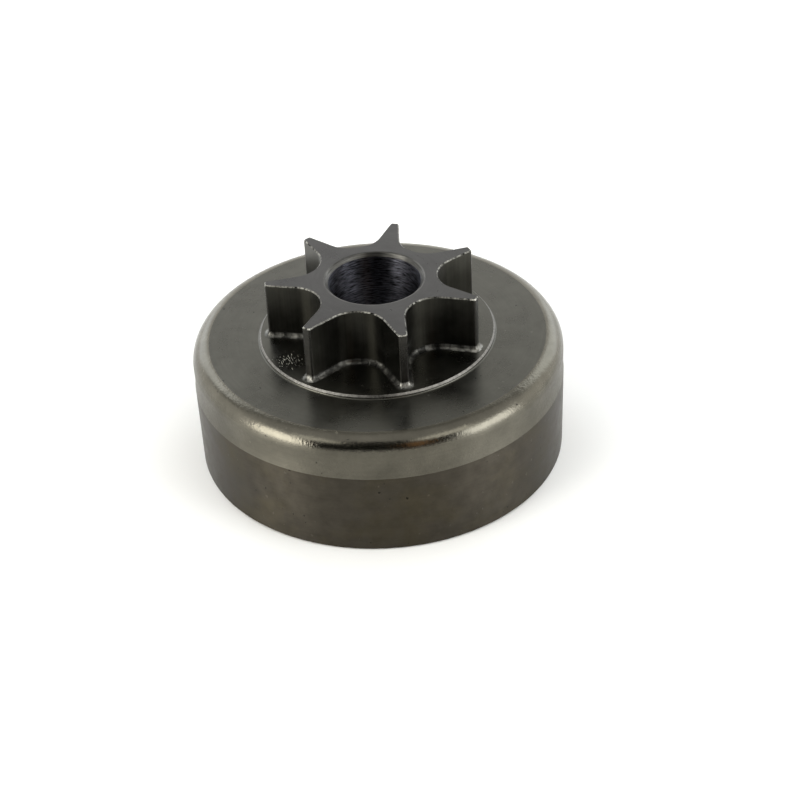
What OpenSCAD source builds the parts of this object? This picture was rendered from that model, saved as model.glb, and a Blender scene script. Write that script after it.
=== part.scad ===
// Clutch drum with a spur sprocket for a chainsaw, turned and milled from one piece of steel.
// It stands on the drum's open rim at z = 0, and the crankshaft's axis is the Z axis.

/* [Drum] */
// Outer diameter of the track that the chain brake's band grips
track_d = 65.2; // [54:0.1:80]
// Height of that track above the open rim
track_h = 14.95; // [10:0.05:15.2]
// How far the neck above the track is turned down, on the radius
neck_step = 0.12; // [0.05:0.01:0.4]
// Height of the drum's face above the open rim
drum_h = 22.3; // [18.5:0.1:30]
// Radius of the rounded corner between the wall and the face
corner_r = 3; // [1:0.1:3.3]
// Thickness of the wall at the track
wall_t = 2.6; // [2:0.1:4]
// Thickness of the web behind the face
web_t = 3; // [2.5:0.1:5]
// Radius of the fillet inside, between the wall and the web
inside_r = 1.5; // [0.5:0.1:2.5]
// Chamfer outside the open rim
rim_break = 0.3; // [0.1:0.05:0.8]
// Chamfer inside the open rim, which leads the clutch shoes in
rim_lead = 0.6; // [0.2:0.05:1]

/* [Hub] */
// Bore for the needle cage
bore_d = 16; // [12:0.1:20]
// Chamfer at the bore's outer mouth
bore_mouth = 0.6; // [0.3:0.05:1]
// Chamfer at the bore's inner end
bore_back = 0.8; // [0.3:0.05:1.5]
// Width of the turned thrust land round the bore, inside the drum
land_w = 5; // [3:0.1:8]
// How far the thrust land stands out of the web
land_h = 0.5; // [0.2:0.1:1]
// How far the flange under the teeth reaches past their tips
flange_w = 1.75; // [1.2:0.05:3]
// Height of the flange above the drum's face
flange_h = 0.65; // [0.55:0.05:2]
// Chamfer round the flange
flange_break = 0.3; // [0.1:0.05:0.35]
// Fillet between the flange and the drum's face
flange_foot_r = 0.25; // [0.1:0.05:0.3]

/* [Sprocket] */
// Number of teeth
teeth = 7; // [6:1:8]
// Diameter over the tips of the teeth
tip_d = 37.7; // [36:0.1:45.4]
// Width of the flat at the tip of a tooth
tip_w = 1.45; // [0.8:0.05:2.2]
// Height of the teeth above the flange
tooth_h = 10.2; // [8:0.1:14]
// Radius of the round at the bottom of a gullet
gullet_r = 5.33; // [4.4:0.01:6.4]
// Steel left between the bore and the bottom of a gullet
hub_wall = 2.85; // [2:0.05:3.5]
// Fillet that the mill leaves at the foot of the flanks and gullets
foot_r = 0.75; // [0.3:0.05:0.9]
// Fillet turned round the foot of the tips
tip_foot_r = 0.8; // [0.4:0.05:1]
// Chamfer along the top edge of the flanks and gullets
tooth_break = 0.2; // [0.05:0.05:0.4]
// Chamfer turned across the top of the tips
tip_break = 0.25; // [0.1:0.05:0.5]
// Direction of the first tooth, seen from above
first_tooth = 77; // [0:1:360]

/* [Hidden] */
$fn = 96;
steel = "#4a4844";
track_r = track_d / 2;
neck_r = track_r - neck_step;
cup_r = track_r - wall_t;
cup_z = drum_h - web_t;
land_z = cup_z - land_h;
bore_r = bore_d / 2;
flange_z = drum_h + flange_h;
land_r = bore_r + land_w;
tip_r = tip_d / 2;
flange_r = tip_r + flange_w;
top_z = flange_z + tooth_h;
// Spacing of the teeth, and the distance of a gullet's centre from the axis
pitch_a = 360 / teeth;
gullet_c = bore_r + hub_wall + gullet_r;
// The mill stops this much above the turned face of the flange, so the two floors don't coincide
mill_z = flange_z + 0.03;
// A flank runs in from the corner of a tip and passes the gullet's centre at the mill's radius. Its
// angle to the line through that centre is half a pitch more than its angle to the tooth's own line.
tip_corner = [sqrt(tip_r * tip_r - tip_w * tip_w / 4), tip_w / 2];
gullet_at = gullet_c * [cos(pitch_a / 2), sin(pitch_a / 2)];
to_gullet = gullet_at - tip_corner;
flank_a = pitch_a / 2 + 180
    - atan2(to_gullet.y, to_gullet.x) - asin(gullet_r / norm(to_gullet));
// The slot along a flank starts just past the line where the flank leaves the round, so they meet at
// a step of about 0.02 mm and not along a tangent. The mill runs on until it is clear of the flange.
slot_start = 0.5;
slot_length = sqrt(to_gullet * to_gullet - gullet_r * gullet_r) + 2 * flange_w;
// How far a cutting shape reaches past what it cuts
over = 0.1;

// Half section of the wall, the face and the web, as solid as a billet.
module drum_section() {
    polygon([[0, 0], [track_r - rim_break, 0], [track_r, rim_break], [track_r, track_h],
             [neck_r, track_h], [neck_r, drum_h - corner_r], [neck_r - corner_r, drum_h],
             [0, drum_h]]);
    translate([neck_r - corner_r, drum_h - corner_r]) circle(corner_r);
}

// Half section of the flange and of the round blank that the teeth are cut from.
module hub_section() {
    polygon([[0, cup_z], [flange_r, cup_z], [flange_r, flange_z - flange_break],
             [flange_r - flange_break, flange_z], [0, flange_z]]);
    translate([flange_r, drum_h]) foot_fillet(flange_foot_r);
    polygon([[0, cup_z], [tip_r, cup_z], [tip_r, top_z - tip_break],
             [tip_r - tip_break, top_z], [0, top_z]]);
    translate([tip_r, flange_z]) foot_fillet(tip_foot_r);
}

// The steel of a fillet of radius r, in the corner where a wall at x = 0 stands on a floor at y = 0.
module foot_fillet(r) {
    difference() {
        square(r);
        translate([r, r]) circle(r);
    }
}

// Half section of the room inside the drum, with the thrust land left standing round the bore.
module cup_section() {
    difference() {
        union() {
            polygon([[0, -over], [cup_r + rim_lead + over, -over], [cup_r, rim_lead],
                     [cup_r, cup_z - inside_r], [cup_r - inside_r, cup_z], [0, cup_z]]);
            translate([cup_r - inside_r, cup_z - inside_r]) circle(inside_r);
        }
        translate([0, land_z]) square([land_r, land_h + over]);
    }
}

// Half section of the bore with its two chamfers.
module bore_section() {
    polygon([[0, land_z - over], [bore_r + bore_back + over, land_z - over],
             [bore_r, land_z + bore_back], [bore_r, top_z - bore_mouth],
             [bore_r + bore_mouth + over, top_z + over], [0, top_z + over]]);
}

// Half section of the end mill: its round corner leaves the fillet at the foot of the teeth, and its
// flared neck breaks their top edge.
module mill_section() {
    polygon([[0, mill_z], [gullet_r - foot_r, mill_z], [gullet_r, mill_z + foot_r],
             [gullet_r, top_z - tooth_break], [gullet_r + tooth_break + over, top_z + over],
             [0, top_z + over]]);
    translate([gullet_r - foot_r, mill_z + foot_r]) circle(foot_r);
}

// The room that the mill clears: the round bottom of the gullet, and a slot out along each flank.
module gullet() {
    translate([gullet_c, 0, 0]) {
        rotate_extrude() mill_section();
        for (side = [-1, 1])
            rotate([0, 0, side * flank_a]) translate([slot_start, 0, 0]) rotate([90, 0, 90])
                linear_extrude(slot_length) {
                    mill_section();
                    mirror([1, 0]) mill_section();
                }
    }
}

module spur_sprocket_drum() {
    color(steel) difference() {
        rotate_extrude() difference() {
            union() {
                drum_section();
                hub_section();
            }
            cup_section();
            bore_section();
        }
        for (i = [0 : teeth - 1])
            rotate([0, 0, first_tooth + (i + 0.5) * pitch_a]) gullet();
    }
}

spur_sprocket_drum();
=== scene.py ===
from math import asin, atan2, cos, degrees, hypot, pi, radians, sin, sqrt

import bmesh
import bpy
from mathutils import Matrix, Vector


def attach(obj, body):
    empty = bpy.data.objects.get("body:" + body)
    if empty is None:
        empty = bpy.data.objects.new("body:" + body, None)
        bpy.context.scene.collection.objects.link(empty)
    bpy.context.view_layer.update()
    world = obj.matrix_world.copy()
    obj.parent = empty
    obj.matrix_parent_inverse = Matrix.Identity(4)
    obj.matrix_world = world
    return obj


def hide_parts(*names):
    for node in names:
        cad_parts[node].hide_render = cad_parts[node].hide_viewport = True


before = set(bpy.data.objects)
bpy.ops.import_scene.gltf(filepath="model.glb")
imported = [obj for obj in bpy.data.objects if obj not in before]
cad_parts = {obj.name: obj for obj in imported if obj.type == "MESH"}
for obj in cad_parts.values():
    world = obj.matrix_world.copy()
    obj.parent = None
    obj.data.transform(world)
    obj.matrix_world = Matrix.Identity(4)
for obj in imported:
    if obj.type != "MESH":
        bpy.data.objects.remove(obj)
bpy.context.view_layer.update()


# The camera looks down at the drum from the front, about 35 degrees above the bench and 30 cm away,
# with a short telephoto lens and a slight tilt, as the photograph was taken.
CAMERA_AT = (0.0, -0.240197, 0.180176)
FOCAL_LENGTH, SENSOR_WIDTH = 73.84, 36.0
LOOKS_DOWN = 35.09
TURN, NOD, TILT = 0.01144, 0.01203, 0.05564  # the last of its aim, in radians

camera = bpy.data.objects.new("camera", bpy.data.cameras.new("camera"))
camera.data.lens = FOCAL_LENGTH
camera.data.sensor_width = SENSOR_WIDTH
camera.data.clip_start = 0.01
camera.matrix_world = (
    Matrix.Translation(CAMERA_AT)
    @ Matrix.Rotation(radians(90 - LOOKS_DOWN), 4, "X")
    @ Matrix.Rotation(-TURN, 4, "Y")
    @ Matrix.Rotation(-NOD, 4, "X")
    @ Matrix.Rotation(-TILT, 4, "Z")
)
bpy.context.scene.collection.objects.link(camera)
bpy.context.scene.camera = camera
bpy.context.scene.view_settings.view_transform = "Standard"


# The room is a white light tent whose walls fade upwards. A softbox stands on either side of the
# camera, two weaker and cooler ones stand at the back under a dimmer band of roof, and the camera
# looks in through a dark opening with a weak warm patch in it. The steel mirrors all of them.
def to_linear(code):
    """An sRGB hex colour such as "4a4844" as the linear RGBA that Blender's sockets take."""
    parts = [int(code[i : i + 2], 16) / 255 for i in (0, 2, 4)]
    return [p / 12.92 if p <= 0.04045 else ((p + 0.055) / 1.055) ** 2.4 for p in parts] + [1.0]


def add_node(tree, kind, settings=None, **links):
    """Adds a node. settings are its properties and the values of its sockets, by name or by number,
    and each link names an input socket, with spaces as underscores, or inN for the Nth one."""
    node = tree.nodes.new(kind)
    for key, value in (settings or {}).items():
        if isinstance(key, str) and hasattr(node, key):
            setattr(node, key, value)
        else:
            node.inputs[key].default_value = value
    for key, source in links.items():
        number = key[2:] if key.startswith("in") else ""
        socket = node.inputs[int(number)] if number.isdigit() else node.inputs[key.replace("_", " ")]
        tree.links.new(source, socket)
    return node


def toward(azimuth, elevation):
    """The direction at that azimuth from +X, and that height over the floor, in degrees."""
    a, e = radians(azimuth), radians(elevation)
    return (cos(a) * cos(e), sin(a) * cos(e), sin(e))


world = bpy.data.worlds.new("light_tent")
bpy.context.scene.world = world
world.use_nodes = True
tent = world.node_tree
tent.nodes.clear()
ray = add_node(tent, "ShaderNodeTexCoord").outputs["Generated"]
height = add_node(tent, "ShaderNodeSeparateXYZ", Vector=ray).outputs["Z"]
walls = add_node(tent, "ShaderNodeValToRGB", Fac=height)
walls.color_ramp.interpolation = "EASE"
lower, upper = walls.color_ramp.elements
lower.position, lower.color = 0.35, (1.45, 1.45, 1.43, 1)
upper.position, upper.color = 0.95, (0.85, 0.85, 0.84, 1)
glow = walls.outputs["Color"]

# Each patch: its middle's azimuth and elevation, its half width and half height, and its light.
# A later one covers an earlier one where they overlap.
PATCHES = [
    (90, 52, 40, 9, (0.5, 0.5, 0.48, 1)),  # the dimmer band of roof
    (-152, 16, 12, 20, (6.6, 6.5, 6.2, 1)),  # the softbox on the left
    (-26, 17, 12, 15, (5.2, 5.3, 5.4, 1)),  # the softbox on the right
    (-44, 49, 9, 8, (2.6, 2.6, 2.5, 1)),  # their glow on the roof
    (-137, 50, 8, 8, (2.2, 2.2, 2.1, 1)),
    (120, 28, 9, 14, (2.4, 2.5, 2.65, 1)),  # the cooler softboxes at the back
    (53, 28, 12, 14, (2.4, 2.5, 2.6, 1)),
    (-92, 27, 37, 18, (0.02, 0.02, 0.018, 1)),  # the dark opening and its upper flap
    (-96, 53, 12, 9, (0.03, 0.03, 0.025, 1)),
    (-69, 30, 1.5, 9, (0.75, 0.42, 0.2, 1)),  # the warm patch
]
SOFT_EDGE = 7.0
for azimuth, elevation, half_width, half_height, light in PATCHES:
    middle = Vector(toward(azimuth, elevation))
    across = Vector((-middle.y, middle.x, 0)).normalized()
    upward = middle.cross(across)
    if upward.z < 0:
        upward.negate()
    ahead = add_node(tent, "ShaderNodeVectorMath", {"operation": "DOT_PRODUCT", 1: middle}, in0=ray)
    inside = add_node(
        tent, "ShaderNodeMath", {"operation": "GREATER_THAN", 1: 0.0}, in0=ahead.outputs["Value"]
    ).outputs[0]
    for axis, half in ((across, half_width), (upward, half_height)):
        along = add_node(tent, "ShaderNodeVectorMath", {"operation": "DOT_PRODUCT", 1: axis}, in0=ray)
        off = add_node(tent, "ShaderNodeMath", {"operation": "ABSOLUTE"}, in0=along.outputs["Value"])
        mask = add_node(
            tent,
            "ShaderNodeMapRange",
            {
                "interpolation_type": "SMOOTHSTEP",
                "From Min": sin(radians(half + SOFT_EDGE)),
                "From Max": sin(radians(half)),
            },
            Value=off.outputs[0],
        ).outputs["Result"]
        inside = add_node(
            tent, "ShaderNodeMath", {"operation": "MULTIPLY"}, in0=inside, in1=mask
        ).outputs[0]
    glow = add_node(
        tent, "ShaderNodeMix", {"data_type": "RGBA", 7: light}, in0=inside, in6=glow
    ).outputs[2]
backdrop = add_node(tent, "ShaderNodeBackground", {"Strength": 1.2}, Color=glow)
add_node(tent, "ShaderNodeOutputWorld", Surface=backdrop.outputs[0])


# The bench is a sheet of plain white board. Its paint is matt and clean, so all that shows on it is
# the drum's soft shadow.
HALF_BOARD = 2.0
board = bmesh.new()
bmesh.ops.create_grid(board, x_segments=1, y_segments=1, size=HALF_BOARD)
floor_mesh = bpy.data.meshes.new("floor")
board.to_mesh(floor_mesh)
board.free()
floor = bpy.data.objects.new("floor", floor_mesh)
bpy.context.scene.collection.objects.link(floor)
paint = bpy.data.materials.new("matt_white_board")
paint.use_nodes = True
shader = paint.node_tree.nodes["Principled BSDF"]
shader.inputs["Base Color"].default_value = to_linear("f4f4f2")
shader.inputs["Roughness"].default_value = 0.9
shader.inputs["Specular IOR Level"].default_value = 0.2
floor_mesh.materials.append(paint)


# The drum, turned from a steel billet: the brake track, the neck above it turned down a little, the
# rounded corner, the flat face with the flange for the sprocket, and the cup for the clutch shoes.
# All of it is one half section spun about the crankshaft's axis.
MM = 0.001
TRACK_R, TRACK_H = 32.6, 14.95
NECK_R, DRUM_H, CORNER_R = 32.48, 22.3, 3.0
RIM_BREAK, RIM_LEAD = 0.3, 0.6
CUP_R, CUP_Z, INSIDE_R = 30.0, 19.3, 1.5
LAND_R, LAND_Z = 13.0, 18.8
BORE_R, BORE_BACK, BORE_MOUTH = 8.0, 0.8, 0.6
FLANGE_R, FLANGE_Z, FLANGE_BREAK, FLANGE_FOOT = 20.6, 22.95, 0.3, 0.25
TOP_Z = 33.15
STEP_RUN = 0.5  # the height over which the neck's step runs out
LIP_ROUND = 0.16  # the worn lip between the bore's mouth and the flat top
HOLD = 0.06  # a narrow strip beside each round keeps the flat beyond it looking flat
CORNER_STEPS, INSIDE_STEPS, FLANGE_STEPS, SPIN_STEPS = 16, 8, 4, 288

steel = bmesh.new()


def draw_to(end, x, z, y=0.0):
    """Draws a straight line on from the vertex end, in millimetres, and returns the new end."""
    new = bmesh.ops.extrude_vert_indiv(steel, verts=[end])["verts"][0]
    new.co = Vector((x, y, z)) * MM
    return new


def turn_about(end, centre, axis, angle, steps):
    """Draws an arc on from the vertex end, about a centre in millimetres, and returns the new end."""
    swept = bmesh.ops.spin(
        steel,
        geom=[end],
        cent=Vector(centre) * MM,
        axis=axis,
        angle=radians(angle),
        steps=steps,
    )
    return next(v for v in swept["geom_last"] if isinstance(v, bmesh.types.BMVert))


SIDE = (0, 1, 0)
end = steel.verts.new(Vector((FLANGE_R - FLANGE_BREAK, 0, FLANGE_Z)) * MM)
end = draw_to(end, FLANGE_R, FLANGE_Z - FLANGE_BREAK)
end = draw_to(end, FLANGE_R, DRUM_H + FLANGE_FOOT)
end = turn_about(end, (FLANGE_R + FLANGE_FOOT, 0, DRUM_H + FLANGE_FOOT), SIDE, -90, FLANGE_STEPS)
end = draw_to(end, FLANGE_R + FLANGE_FOOT + HOLD, DRUM_H)
end = draw_to(end, NECK_R - CORNER_R - HOLD, DRUM_H)
end = draw_to(end, NECK_R - CORNER_R, DRUM_H)
end = turn_about(end, (NECK_R - CORNER_R, 0, DRUM_H - CORNER_R), SIDE, 90, CORNER_STEPS)
end = draw_to(end, NECK_R, DRUM_H - CORNER_R - HOLD)
end = draw_to(end, NECK_R, TRACK_H + STEP_RUN)
end = draw_to(end, TRACK_R, TRACK_H)
end = draw_to(end, TRACK_R, RIM_BREAK)
end = draw_to(end, TRACK_R - RIM_BREAK, 0)
end = draw_to(end, CUP_R + RIM_LEAD, 0)
end = draw_to(end, CUP_R, RIM_LEAD)
end = draw_to(end, CUP_R, CUP_Z - INSIDE_R - HOLD)
end = draw_to(end, CUP_R, CUP_Z - INSIDE_R)
end = turn_about(end, (CUP_R - INSIDE_R, 0, CUP_Z - INSIDE_R), SIDE, -90, INSIDE_STEPS)
end = draw_to(end, CUP_R - INSIDE_R - HOLD, CUP_Z)
end = draw_to(end, LAND_R, CUP_Z)
end = draw_to(end, LAND_R, LAND_Z)
end = draw_to(end, BORE_R + BORE_BACK, LAND_Z)
end = draw_to(end, BORE_R, LAND_Z + BORE_BACK)
end = draw_to(end, BORE_R, TOP_Z - BORE_MOUTH)
end = draw_to(end, BORE_R + BORE_MOUTH - LIP_ROUND / 2, TOP_Z - LIP_ROUND / 3)
end = draw_to(end, BORE_R + BORE_MOUTH + LIP_ROUND, TOP_Z)
end = draw_to(end, BORE_R + BORE_MOUTH + LIP_ROUND + HOLD, TOP_Z)
bmesh.ops.spin(
    steel,
    geom=steel.verts[:] + steel.edges[:],
    cent=(0, 0, 0),
    axis=(0, 0, 1),
    angle=2 * pi,
    steps=SPIN_STEPS,
    use_merge=True,
)


def ring_at(radius, z):
    """The edges of the spun circle at that radius and height, in millimetres."""
    on_it = {
        v
        for v in steel.verts
        if abs(v.co.z / MM - z) < 1e-3 and abs(hypot(v.co.x, v.co.y) / MM - radius) < 1e-3
    }
    return [e for e in steel.edges if e.verts[0] in on_it and e.verts[1] in on_it]


flange_ring = ring_at(FLANGE_R - FLANGE_BREAK, FLANGE_Z)
bore_ring = ring_at(BORE_R + BORE_MOUTH + LIP_ROUND + HOLD, TOP_Z)


# The spur sprocket, seven teeth milled straight down into the same billet: a mill of 5.33 mm radius
# leaves the round gullets, the flanks run out from them to a narrow tip, and the mill's own round
# corner leaves a fillet along their foot.
TEETH, FIRST_TOOTH = 7, 77.0
TIP_R, TIP_W, TIP_ROUND = 18.85, 1.45, 0.38
GULLET_R, HUB_WALL = 5.33, 2.85
FOOT_R, TOOTH_BREAK = 0.9, 0.2
GULLET_STEPS, TIP_STEPS, FOOT_STEPS = 12, 5, 7

pitch = 2 * pi / TEETH
gullet_at = Vector((cos(pitch / 2), sin(pitch / 2))) * (BORE_R + HUB_WALL + GULLET_R)
tip_corner = Vector((sqrt(TIP_R**2 - TIP_W**2 / 4), TIP_W / 2))
to_gullet = gullet_at - tip_corner
# The direction in which a flank runs outwards, on the side of the tooth that faces +Y
flank = atan2(to_gullet.y, to_gullet.x) + asin(GULLET_R / to_gullet.length) + pi
outward_flank = Vector((cos(flank), sin(flank)))
# The flank's normal, from the steel into the gullet
into_gullet = Vector((-outward_flank.y, outward_flank.x))
if into_gullet.dot(to_gullet) < 0:
    into_gullet.negate()

# Half an outline: the gullet's round from its deepest point, the flank, the tip's corner, its land
drum_verts = set(steel.verts)
deepest = gullet_at * (1 - GULLET_R / gullet_at.length)
touch = gullet_at - into_gullet * GULLET_R
end = steel.verts.new(Vector((deepest.x, deepest.y, FLANGE_Z)) * MM)
sweep = degrees((deepest - gullet_at).angle_signed(touch - gullet_at))
end = turn_about(end, (gullet_at.x, gullet_at.y, FLANGE_Z), (0, 0, 1), -sweep, GULLET_STEPS)
# The centre of the tip's small round lies inside both the flank and the tip's circle
inset_from = touch - into_gullet * TIP_ROUND
along = inset_from.dot(outward_flank)
reach = -along + sqrt(along**2 - inset_from.length_squared + (TIP_R - TIP_ROUND) ** 2)
round_at = inset_from + outward_flank * reach
leave = round_at + into_gullet * TIP_ROUND
land = round_at.normalized() * TIP_R
end = draw_to(end, leave.x - outward_flank.x * HOLD, FLANGE_Z, leave.y - outward_flank.y * HOLD)
end = draw_to(end, leave.x, FLANGE_Z, leave.y)
sweep = degrees((leave - round_at).angle_signed(land - round_at))
end = turn_about(end, (round_at.x, round_at.y, FLANGE_Z), (0, 0, 1), -sweep, TIP_STEPS)
# The land's first step is a narrow one beside the round
half_land = degrees(atan2(land.y, land.x))
end = turn_about(end, (0, 0, FLANGE_Z), (0, 0, 1), -half_land / 8, 1)
end = turn_about(end, (0, 0, FLANGE_Z), (0, 0, 1), -half_land * 7 / 8, 2)

half = [v for v in steel.verts if v not in drum_verts]
half_edges = {e for v in half for e in v.link_edges}
bmesh.ops.mirror(steel, geom=half + list(half_edges), axis="Y", merge_dist=1e-6)
tooth = [v for v in steel.verts if v not in drum_verts]
tooth_edges = {e for v in tooth for e in v.link_edges}
bmesh.ops.rotate(
    steel, verts=tooth, cent=(0, 0, 0), matrix=Matrix.Rotation(radians(FIRST_TOOTH), 3, "Z")
)
bmesh.ops.spin(
    steel,
    geom=tooth + list(tooth_edges),
    cent=(0, 0, 0),
    axis=(0, 0, 1),
    angle=pitch * (TEETH - 1),
    steps=TEETH - 1,
    use_duplicate=True,
)
outline = [v for v in steel.verts if v not in drum_verts]
bmesh.ops.remove_doubles(steel, verts=outline, dist=1e-6)
outline = [v for v in steel.verts if v not in drum_verts]

# The outline in order, anticlockwise from above, and how each point moves as the outline grows
ordered = [outline[0]]
while len(ordered) < len(outline):
    last = ordered[-1]
    ahead = [e.other_vert(last) for e in last.link_edges if e.other_vert(last) not in ordered[-2:]]
    ordered.append(ahead[0])
if sum(a.co.x * b.co.y - b.co.x * a.co.y for a, b in zip(ordered, ordered[1:])) < 0:
    ordered.reverse()
growth = []
for i, vert in enumerate(ordered):
    before = (vert.co - ordered[i - 1].co).normalized()
    after = (ordered[(i + 1) % len(ordered)].co - vert.co).normalized()
    out = Vector((before.y + after.y, -before.x - after.x, 0)).normalized()
    growth.append(out / out.dot(Vector((after.y, -after.x, 0))))

# The wall's section from the foot up: how far it stands outside the outline, and its height
section = [(FOOT_R + HOLD, FLANGE_Z)]
for i in range(FOOT_STEPS + 1):
    a = i / FOOT_STEPS * pi / 2
    section.append((FOOT_R * (1 - sin(a)), FLANGE_Z + FOOT_R * (1 - cos(a))))
section += [(0, FLANGE_Z + FOOT_R + HOLD), (0, TOP_Z - TOOTH_BREAK), (-TOOTH_BREAK, TOP_Z)]
places = [vert.co.copy() for vert in ordered]


def loop_edges(row):
    """The edges round the closed loop of vertices."""
    return [steel.edges.get((v, row[(i + 1) % len(row)])) for i, v in enumerate(row)]


rows = [ordered]
for level, (out, z) in enumerate(section):
    if level:
        raised = set(bmesh.ops.extrude_edge_only(steel, edges=loop_edges(rows[-1]))["geom"])
        rows.append(
            [next(e.other_vert(v) for e in v.link_edges if e.other_vert(v) in raised) for v in rows[-1]]
        )
    for vert, place, grows in zip(rows[-1], places, growth):
        vert.co = (place.x + grows.x * out * MM, place.y + grows.y * out * MM, z * MM)

# The flange's floor round the teeth, and the sprocket's flat top round the bore
for inner, outer in ((loop_edges(rows[0]), flange_ring), (bore_ring, loop_edges(rows[-1]))):
    bmesh.ops.triangle_fill(
        steel, edges=inner + outer, use_beauty=True, use_dissolve=False, normal=(0, 0, 1)
    )
bmesh.ops.recalc_face_normals(steel, faces=steel.faces[:])

SHARP = radians(28)
for face in steel.faces:
    face.smooth = True
for edge in steel.edges:
    edge.smooth = edge.is_manifold and edge.calc_face_angle() < SHARP

drum_mesh = bpy.data.meshes.new("clutch_drum")
steel.to_mesh(drum_mesh)
steel.free()
drum = bpy.data.objects.new("clutch_drum", drum_mesh)
bpy.context.scene.collection.objects.link(drum)


# The steel is blackened in hot oil after it is cut, so it keeps each cutter's marks under a dark,
# slightly cloudy skin. The edges and foot of the teeth are painted brighter towards their tips, a
# painted highlight. Real turning marks are under 0.1 mm apart, finer than the render shows, so
# they are drawn as wide as mark_mm.
def cutter_marks(tree, at, cut, mark_mm, streak):
    """How dark and how high a cutter's marks are, from 0 to 1. They are mark_mm wide. Turned ones run
    round the axis and break off about streak times a radian, milled ones run upright, and chattered
    ones are the facets of a mill that shook."""
    if cut == "chattered":
        facets = add_node(
            tree, "ShaderNodeTexVoronoi", {"Scale": 1 / mark_mm, "Randomness": 1.0}, Vector=at["plan"]
        ).outputs
        shade = add_node(tree, "ShaderNodeSeparateColor", Color=facets["Color"]).outputs[0]
        return shade, facets["Distance"]
    if cut == "milled":
        course = at["place"]
        spread = (1 / mark_mm, 1 / mark_mm, 0.02 / mark_mm)
    else:
        around = add_node(tree, "ShaderNodeVectorMath", {"operation": "NORMALIZE"}, in0=at["plan"])
        around = add_node(tree, "ShaderNodeSeparateXYZ", Vector=around.outputs["Vector"]).outputs
        # the radius and the height together run along the section, on the face and on the walls
        feed = add_node(
            tree, "ShaderNodeMath", {"operation": "ADD"}, in0=at["radius"], in1=at["height"]
        ).outputs[0]
        course = add_node(
            tree, "ShaderNodeCombineXYZ", X=around["X"], Y=around["Y"], Z=feed
        ).outputs[0]
        spread = (streak, streak, 1 / mark_mm)
    course = add_node(tree, "ShaderNodeMapping", {"Scale": spread}, Vector=course).outputs[0]
    marks = add_node(
        tree, "ShaderNodeTexNoise", {"Scale": 1.0, "Detail": 3.0, "Roughness": 0.6}, Vector=course
    ).outputs["Fac"]
    return marks, marks


PIT_SPACING, PIT_DEPTH = 0.9, 0.02
LARGEST_PIT = 0.26  # its radius, as a share of the spacing


def add_pits(tree, at, share, tone, height):
    """Small ragged pits and specks, some dark and some pale, in that share of their places."""
    ragged = add_node(
        tree, "ShaderNodeTexNoise", {"Scale": 5.0, "Detail": 2.0}, Vector=at["place"]
    ).outputs["Color"]
    ragged = add_node(
        tree,
        "ShaderNodeVectorMath",
        {"operation": "MULTIPLY_ADD", 1: (0.5, 0.5, 0.5)},
        in0=ragged,
        in2=at["place"],
    ).outputs["Vector"]
    cells = add_node(
        tree, "ShaderNodeTexVoronoi", {"Scale": 1 / PIT_SPACING, "Randomness": 1.0}, Vector=ragged
    ).outputs
    chosen = add_node(tree, "ShaderNodeSeparateColor", Color=cells["Color"]).outputs
    size = add_node(
        tree,
        "ShaderNodeMapRange",
        {"From Min": 1 - share, "From Max": 1.0, "To Min": 0.0, "To Max": LARGEST_PIT},
        Value=chosen[0],
    ).outputs["Result"]
    pit = add_node(
        tree, "ShaderNodeMath", {"operation": "LESS_THAN"}, in0=cells["Distance"], in1=size
    ).outputs[0]
    dark_or_pale = add_node(
        tree,
        "ShaderNodeMapRange",
        {"From Min": 0.6, "From Max": 0.7, "To Min": 0.4, "To Max": 1.4},
        Value=chosen[1],
    ).outputs["Result"]
    tone = add_node(
        tree, "ShaderNodeMix", {"data_type": "FLOAT"}, in0=pit, in2=tone, in3=dark_or_pale
    ).outputs[0]
    height = add_node(
        tree, "ShaderNodeMath", {"operation": "MULTIPLY_ADD", 1: -PIT_DEPTH}, in0=pit, in2=height
    ).outputs[0]
    return tone, height


SCRATCH_LENGTH, SCRATCH_WIDTH, SCRATCH_DEPTH = 0.8, 0.2, 0.06
SCRATCH_COURSE = radians(106)
SCRATCH_BRIGHTNESS = 8.0


def add_scratches(tree, at, patch, tone, height):
    """Short bright scratches that lie close together in the middle of the patch, which is its place
    and its radius, and thin out beyond it."""
    middle, radius = patch
    away = add_node(
        tree, "ShaderNodeVectorMath", {"operation": "DISTANCE", 1: middle}, in0=at["place"]
    )
    density = add_node(
        tree,
        "ShaderNodeMapRange",
        {"From Min": 0.3 * radius, "From Max": 1.9 * radius, "To Min": 0.14, "To Max": -0.16},
        Value=away.outputs["Value"],
    ).outputs["Result"]
    slanted = add_node(
        tree,
        "ShaderNodeMapping",
        {
            "vector_type": "TEXTURE",
            "Rotation": (0.0, 0.0, SCRATCH_COURSE),
            "Scale": (SCRATCH_LENGTH, SCRATCH_WIDTH, 1.0),
        },
        Vector=at["place"],
    ).outputs["Vector"]
    scratch = add_node(
        tree, "ShaderNodeTexNoise", {"Scale": 1.0, "Detail": 1.0, "Roughness": 0.5}, Vector=slanted
    ).outputs["Fac"]
    scratch = add_node(
        tree, "ShaderNodeMath", {"operation": "ADD"}, in0=scratch, in1=density
    ).outputs[0]
    scratch = add_node(
        tree, "ShaderNodeMapRange", {"From Min": 0.75, "From Max": 0.8}, Value=scratch
    ).outputs["Result"]
    tone = add_node(
        tree,
        "ShaderNodeMath",
        {"operation": "MULTIPLY_ADD", 1: SCRATCH_BRIGHTNESS},
        in0=scratch,
        in2=tone,
    ).outputs[0]
    height = add_node(
        tree,
        "ShaderNodeMath",
        {"operation": "MULTIPLY_ADD", 1: -SCRATCH_DEPTH},
        in0=scratch,
        in2=height,
    ).outputs[0]
    return tone, height


TIP_GLINT_FROM, TIP_GLINT_TO = 17.2, 18.6  # the radii between which a tooth's steel is painted brighter, a painted highlight at its tips
STAIN_MM, MOST_STAIN = 9.0, 0.6


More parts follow.
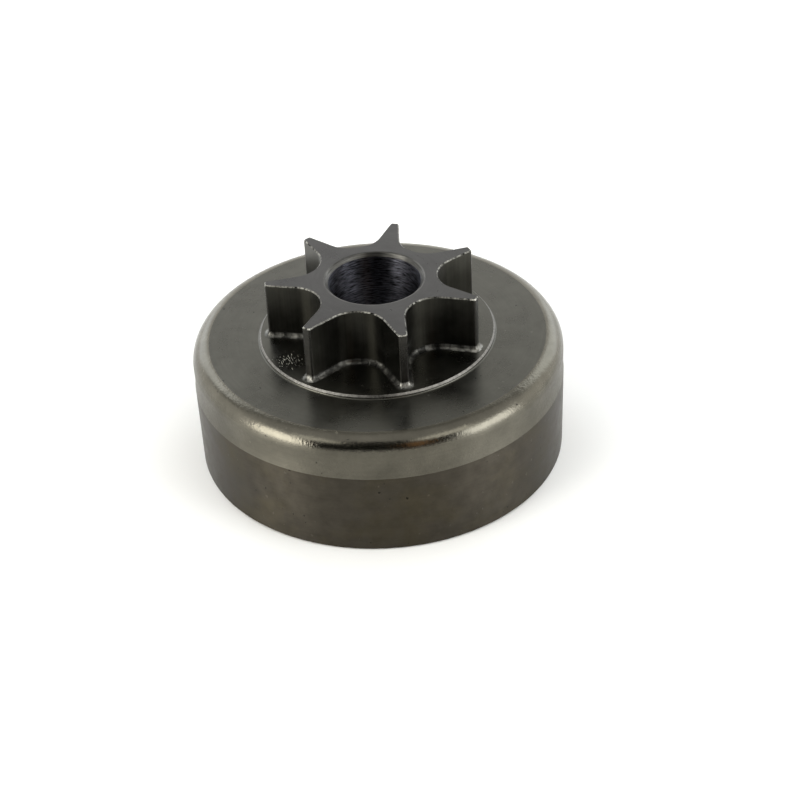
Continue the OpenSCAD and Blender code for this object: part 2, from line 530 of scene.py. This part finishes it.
def steel_finish(name, colour, roughness, grooves=0.0, cut="turned", blotch=0.12, blotch_mm=5.0,
                 marks=0.1, mark_mm=0.35, bump_mm=0.004, streak=2.5, pits=0.0, polish=None,
                 grain_mm=0.0, grain_size=0.33, stain=None, scuffed=None, tip_glint=None):
    """Oil-blackened steel. grooves is how far turning marks stretch a reflection across them, and cut,
    mark_mm and streak are how the marks run. blotch and marks are how much the clouds in the blacking
    and the marks change its darkness, and bump_mm is the marks' depth. pits is the share of places
    with a pit, and polish is the two heights between which the roughness changes, and by how much.
    grain_mm and grain_size are a sandy grain's depth and size, stain is the colour that the blacking
    turns to in places, scuffed is the patch with scratches, and the last one is how much brighter
    the steel is painted at the tips of the teeth, a painted highlight."""
    material = bpy.data.materials.new(name)
    material.use_nodes = True
    tree = material.node_tree
    shader = tree.nodes["Principled BSDF"]
    shader.inputs["Metallic"].default_value = 1.0
    shader.inputs["Anisotropic"].default_value = grooves
    shader.inputs["Anisotropic Rotation"].default_value = 0.25
    if grooves:
        tangent = add_node(tree, "ShaderNodeTangent", {"direction_type": "RADIAL", "axis": "Z"})
        tree.links.new(tangent.outputs[0], shader.inputs["Tangent"])

    place = add_node(tree, "ShaderNodeTexCoord").outputs["Object"]
    in_mm = add_node(tree, "ShaderNodeMapping", {"Scale": (1000, 1000, 1000)}, Vector=place)
    in_mm = in_mm.outputs["Vector"]
    parts = add_node(tree, "ShaderNodeSeparateXYZ", Vector=in_mm).outputs
    plan = add_node(tree, "ShaderNodeCombineXYZ", X=parts["X"], Y=parts["Y"]).outputs[0]
    radius = add_node(tree, "ShaderNodeVectorMath", {"operation": "LENGTH"}, in0=plan)
    at = {"place": in_mm, "plan": plan, "radius": radius.outputs["Value"], "height": parts["Z"]}

    # The darkness: clouds in the blacking, times the cutter's marks, times the painted highlight at the
    # tips of the teeth
    clouds = add_node(
        tree,
        "ShaderNodeTexNoise",
        {"Scale": 1 / blotch_mm, "Detail": 5.0, "Roughness": 0.6},
        Vector=in_mm,
    ).outputs["Fac"]
    tone = add_node(
        tree,
        "ShaderNodeMapRange",
        {"From Min": 0.35, "From Max": 0.65, "To Min": 1 - blotch, "To Max": 1 + blotch},
        Value=clouds,
    ).outputs["Result"]
    shade, relief_of = cutter_marks(tree, at, cut, mark_mm, streak)
    palest = 0.9 if cut == "chattered" else 0.65
    scored = add_node(
        tree,
        "ShaderNodeMapRange",
        {
            "From Min": 1 - palest,
            "From Max": palest,
            "To Min": 1 - min(marks, 0.95),
            "To Max": 1 + marks,
        },
        Value=shade,
    ).outputs["Result"]
    tone = add_node(tree, "ShaderNodeMath", {"operation": "MULTIPLY"}, in0=tone, in1=scored).outputs[0]
    if cut == "chattered":
        gap = add_node(
            tree,
            "ShaderNodeMapRange",
            {"From Min": 0.4, "From Max": 0.55, "To Min": 1.0, "To Max": 0.5},
            Value=relief_of,
        ).outputs["Result"]
        tone = add_node(tree, "ShaderNodeMath", {"operation": "MULTIPLY"}, in0=tone, in1=gap).outputs[0]
    # Painted highlight: the colour grows brighter towards the tips of the teeth
    if tip_glint:
        bright = add_node(
            tree,
            "ShaderNodeMapRange",
            {"From Min": TIP_GLINT_FROM, "From Max": TIP_GLINT_TO, "To Min": 1.0, "To Max": tip_glint},
            Value=at["radius"],
        ).outputs["Result"]
        tone = add_node(
            tree, "ShaderNodeMath", {"operation": "MULTIPLY"}, in0=tone, in1=bright
        ).outputs[0]

    # The relief: the marks, with a sandy grain that is stronger in some places than in others
    height = add_node(
        tree, "ShaderNodeMath", {"operation": "MULTIPLY", 1: bump_mm}, in0=relief_of
    ).outputs[0]
    patchy = clouds
    if grain_mm:
        grain = add_node(
            tree,
            "ShaderNodeTexNoise",
            {"Scale": 1 / grain_size, "Detail": 2.0, "Roughness": 0.6},
            Vector=in_mm,
        ).outputs["Fac"]
        depth = add_node(
            tree,
            "ShaderNodeMapRange",
            {"From Min": 0.42, "From Max": 0.58, "To Min": 0.5 * grain_mm, "To Max": 1.4 * grain_mm},
            Value=clouds,
        ).outputs["Result"]
        height = add_node(
            tree, "ShaderNodeMath", {"operation": "MULTIPLY_ADD"}, in0=grain, in1=depth, in2=height
        ).outputs[0]
        patchy = grain
    if pits:
        tone, height = add_pits(tree, at, pits, tone, height)
    if scuffed:
        tone, height = add_scratches(tree, at, scuffed, tone, height)
    relief = add_node(tree, "ShaderNodeBump", {"Strength": 1.0, "Distance": MM}, Height=height)
    tree.links.new(relief.outputs["Normal"], shader.inputs["Normal"])

    # The colour, and the roughness
    tint = add_node(tree, "ShaderNodeRGB").outputs[0]
    tint.default_value = to_linear(colour)
    if stain:
        stained = add_node(
            tree,
            "ShaderNodeTexNoise",
            {"Scale": 1 / STAIN_MM, "Detail": 4.0, "Roughness": 0.6},
            Vector=in_mm,
        ).outputs["Fac"]
        stained = add_node(
            tree,
            "ShaderNodeMapRange",
            {"From Min": 0.46, "From Max": 0.66, "To Min": 0.0, "To Max": MOST_STAIN},
            Value=stained,
        ).outputs["Result"]
        tint = add_node(
            tree, "ShaderNodeMix", {"data_type": "RGBA", 7: to_linear(stain)}, in0=stained, in6=tint
        ).outputs[2]
    blacking = add_node(tree, "ShaderNodeVectorMath", {"operation": "SCALE"}, in0=tint, Scale=tone)
    tree.links.new(blacking.outputs["Vector"], shader.inputs["Base Color"])
    rough = add_node(
        tree,
        "ShaderNodeMapRange",
        {"From Min": 0.3, "From Max": 0.7, "To Min": roughness * 0.85, "To Max": roughness * 1.15},
        Value=patchy,
    ).outputs["Result"]
    if polish:
        worn = add_node(
            tree,
            "ShaderNodeMapRange",
            {"From Min": polish[0], "From Max": polish[1], "To Min": 1.0, "To Max": polish[2]},
            Value=parts["Z"],
        ).outputs["Result"]
        rough = add_node(
            tree, "ShaderNodeMath", {"operation": "MULTIPLY"}, in0=rough, in1=worn
        ).outputs[0]
    tree.links.new(rough, shader.inputs["Roughness"])
    return material


FINISHES = {
    # Turned, and gripped by the brake's band: dull brown-black, cloudy and specked, with each
    # reflection drawn out upright
    "track": steel_finish("turned_blackened_steel_track", "403c35", 0.4, grooves=0.75, pits=0.3,
                          marks=0.03, blotch=0.14, blotch_mm=3.0, stain="413c2f"),
    # Turned again and blackened thinly: a paler band, with a polished and sandy shine on the corner
    "neck": steel_finish("turned_blackened_steel_neck", "5b584f", 0.4, grooves=0.75, pits=0.12,
                         marks=0.03, polish=(19.7, 20.8, 0.46), grain_mm=0.027, grain_size=0.36),
    # Faced flat: a smooth dark mirror of the room, with a few specks and one scuffed patch
    "face": steel_finish("faced_blackened_steel", "4a4943", 0.29, pits=0.15, marks=0.04,
                         scuffed=((-15.3, -8.7, FLANGE_Z), 3.2)),
    # Faced flat as well: an even, slightly darker mirror
    "top": steel_finish("faced_blackened_steel_top", "403f3e", 0.3, pits=0.1, marks=0.05),
    # Countersunk: a ring of fine bright and dark lines round the bore's mouth
    "mouth": steel_finish("countersunk_blackened_steel", "484744", 0.35, grooves=0.7, marks=0.4,
                          grain_mm=0.01),
    # The flange's chamfer: paler than the face, a painted highlight that draws it as a pale thin line
    "rim": steel_finish("worn_blackened_steel_rim", "6c6a66", 0.35, cut="milled", mark_mm=0.5,
                        marks=0.3),
    # The teeth's broken top edge: bare in spots, so it glints, and painted paler than the flanks and
    # brightest at the tips, a painted highlight
    "edge": steel_finish("worn_blackened_steel_edge", "605f5a", 0.36, cut="milled", mark_mm=0.5,
                         marks=1.0, bump_mm=0.03, tip_glint=2.2),
    # Milled straight down: dark, with faint upright lines
    "flank": steel_finish("milled_blackened_steel_flank", "3e3d38", 0.32, cut="milled", marks=0.11,
                          mark_mm=0.6),
    # Turned before the teeth were milled: narrow dark lands that stretch their reflection upright
    "tip": steel_finish("turned_blackened_steel_tip", "373633", 0.3, grooves=0.82, marks=0.1,
                        mark_mm=0.5),
    # The mill's corner shook in the fillet: uneven facets, painted brighter towards the tips as a
    # painted highlight
    "foot": steel_finish("chattered_blackened_steel_foot", "504f4b", 0.42, cut="chattered",
                         mark_mm=1.3, blotch=0.6, blotch_mm=4.0, marks=0.6, bump_mm=0.09,
                         grain_mm=0.012, tip_glint=2.6),
    # Bored, and turned inside the cup: blue-black, with short broken lines that catch the light
    "bore": steel_finish("bored_blackened_steel", "2f2f33", 0.41, grooves=0.97, marks=3.4,
                         mark_mm=0.22, bump_mm=0.035, streak=5.0),
}
order = list(FINISHES)
for finish in FINISHES.values():
    drum_mesh.materials.append(finish)

NEAR = 0.01


def finish_of(x, y, z, up):
    """The finish of the steel at that place, in millimetres, on a facet whose normal rises by up."""
    r = hypot(x, y)
    flat = up > 0.99
    in_cup = z < CUP_Z + NEAR and r < CUP_R + RIM_LEAD
    in_bore = r < BORE_R + NEAR and up < 0.2
    if in_cup or in_bore:
        return "bore"
    if z < DRUM_H + NEAR and r > FLANGE_R + FLANGE_FOOT + HOLD:
        if z < TRACK_H:
            return "track"
        return "neck" if r > NECK_R - CORNER_R else "face"
    if flat:
        return "top" if z > FLANGE_Z + FOOT_R else "face"
    if r < BORE_R + BORE_MOUTH + LIP_ROUND:
        return "mouth"
    if z < FLANGE_Z:
        return "rim" if z > FLANGE_Z - FLANGE_BREAK else "face"
    if z < FLANGE_Z + FOOT_R:
        return "foot"
    if up > 0.3:
        return "edge"
    return "tip" if r > TIP_R - TIP_ROUND else "flank"


for polygon in drum_mesh.polygons:
    middle = polygon.center / MM
    polygon.material_index = order.index(finish_of(*middle, polygon.normal.z))

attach(drum, "root")
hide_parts("spur_sprocket_drum")
